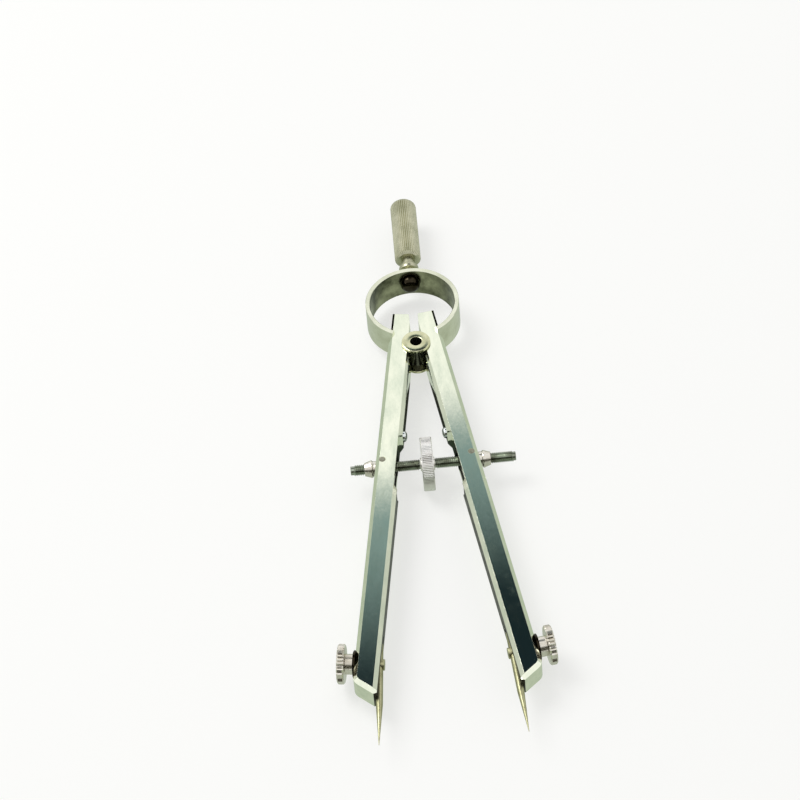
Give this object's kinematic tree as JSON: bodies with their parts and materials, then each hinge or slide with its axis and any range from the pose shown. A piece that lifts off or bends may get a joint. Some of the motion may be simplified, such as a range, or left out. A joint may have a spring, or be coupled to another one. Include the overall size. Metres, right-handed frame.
{
  "type": "spring bow divider",
  "caption": "Spring bow divider with a knurled handle, ring spring, centre adjusting wheel on a cross spindle, and clamped needle points.",
  "frame": {"origin": "middle of the fulcrum spool's bore, half way through the tool's depth", "axes": "+X to the right-hand leg, +Y up to the handle, +Z out of the front face along the spool's bore"},
  "size_m": [0.0468, 0.1574, 0.012],
  "materials": {
    "grip_nickel": "polished nickel, slightly warm",
    "spring_steel": "polished plate on spring steel",
    "leg_chrome": "mirror chrome",
    "wheel_chrome": "polished, knurled rim",
    "fitting_nickel": "polished",
    "dark_steel": "turned steel",
    "needle_steel": "ground steel"
  },
  "bodies": {
    "head": {"handle": "grip_nickel", "handle_screw": "dark_steel", "spring_ring": "spring_steel", "fulcrum_spool": "grip_nickel"},
    "spindle": {"spindle": "dark_steel", "adjusting_wheel": "wheel_chrome"},
    "left_leg": {"left_leg": "leg_chrome", "left_stop_stud": "leg_chrome", "left_front_pivot_pin": "dark_steel", "left_rear_pivot_pin": "dark_steel", "left_washer": "leg_chrome"},
    "left_nut": {"left_spindle_nut": "fitting_nickel"},
    "left_clamp": {"left_clamp_bolt": "fitting_nickel"},
    "left_thumb": {"left_thumb_nut": "fitting_nickel"},
    "left_needle": {"left_needle": "needle_steel"},
    "right_leg": {"right_leg": "leg_chrome", "right_stop_stud": "leg_chrome", "right_front_pivot_pin": "dark_steel", "right_rear_pivot_pin": "dark_steel", "right_washer": "leg_chrome"},
    "right_nut": {"right_spindle_nut": "fitting_nickel"},
    "right_clamp": {"right_clamp_bolt": "fitting_nickel"},
    "right_thumb": {"right_thumb_nut": "fitting_nickel"},
    "right_needle": {"right_needle": "needle_steel"}
  },
  "joints": [
    {"name": "spindle_spin", "type": "hinge", "parent": "head", "child": "spindle", "pos_m": [0, -0.03404, 0], "axis": [1, 0, 0], "range_deg": [-3826, 2392]},
    {"name": "left_leg_hinge", "type": "hinge", "parent": "head", "child": "left_leg", "pos_m": [0, 0, 0], "axis": [0, 0, -1], "range_deg": [-8, 5], "deforming": ["spring_ring"]},
    {"name": "left_nut_slide", "type": "slide", "parent": "head", "child": "left_nut", "axis": [-1, 0, 0], "range_m": [-0.0048, 0.003]},
    {"name": "left_thumb_spin", "type": "hinge", "parent": "left_leg", "child": "left_thumb", "pos_m": [-0.02071, -0.08795, 0], "axis": [-0.9899, 0.1421, 0], "range_deg": [0, 180]},
    {"name": "left_clamp_slide", "type": "slide", "parent": "left_leg", "child": "left_clamp", "axis": [0.9899, -0.1421, 0], "range_m": [0, 0.0002]},
    {"name": "left_needle_slide", "type": "slide", "parent": "left_leg", "child": "left_needle", "axis": [-0.071, -0.9975, 0], "range_m": [-0.002, 0.003]},
    {"name": "right_leg_hinge", "type": "hinge", "parent": "head", "child": "right_leg", "pos_m": [0, 0, 0], "axis": [0, 0, 1], "range_deg": [-8, 5]},
    {"name": "right_nut_slide", "type": "slide", "parent": "head", "child": "right_nut", "axis": [1, 0, 0], "range_m": [-0.0048, 0.003]},
    {"name": "right_thumb_spin", "type": "hinge", "parent": "right_leg", "child": "right_thumb", "pos_m": [0.02071, -0.08795, 0], "axis": [0.9899, 0.1421, 0], "range_deg": [0, 180]},
    {"name": "right_clamp_slide", "type": "slide", "parent": "right_leg", "child": "right_clamp", "axis": [-0.9899, -0.1421, 0], "range_m": [0, 0.0002]},
    {"name": "right_needle_slide", "type": "slide", "parent": "right_leg", "child": "right_needle", "axis": [0.071, -0.9975, 0], "range_m": [-0.002, 0.003]}
  ],
  "couplings": [
    {"joint": "spindle_spin", "follows": "left_leg_hinge", "ratio": 478.08},
    {"joint": "right_leg_hinge", "follows": "left_leg_hinge", "ratio": 1},
    {"joint": "left_nut_slide", "follows": "left_leg_hinge", "m_per_rad": 0.03424},
    {"joint": "left_thumb_spin", "follows": "left_clamp_slide", "rad_per_m": 15708},
    {"joint": "right_nut_slide", "follows": "left_leg_hinge", "m_per_rad": 0.03424},
    {"joint": "right_thumb_spin", "follows": "right_clamp_slide", "rad_per_m": 15708}
  ]
}
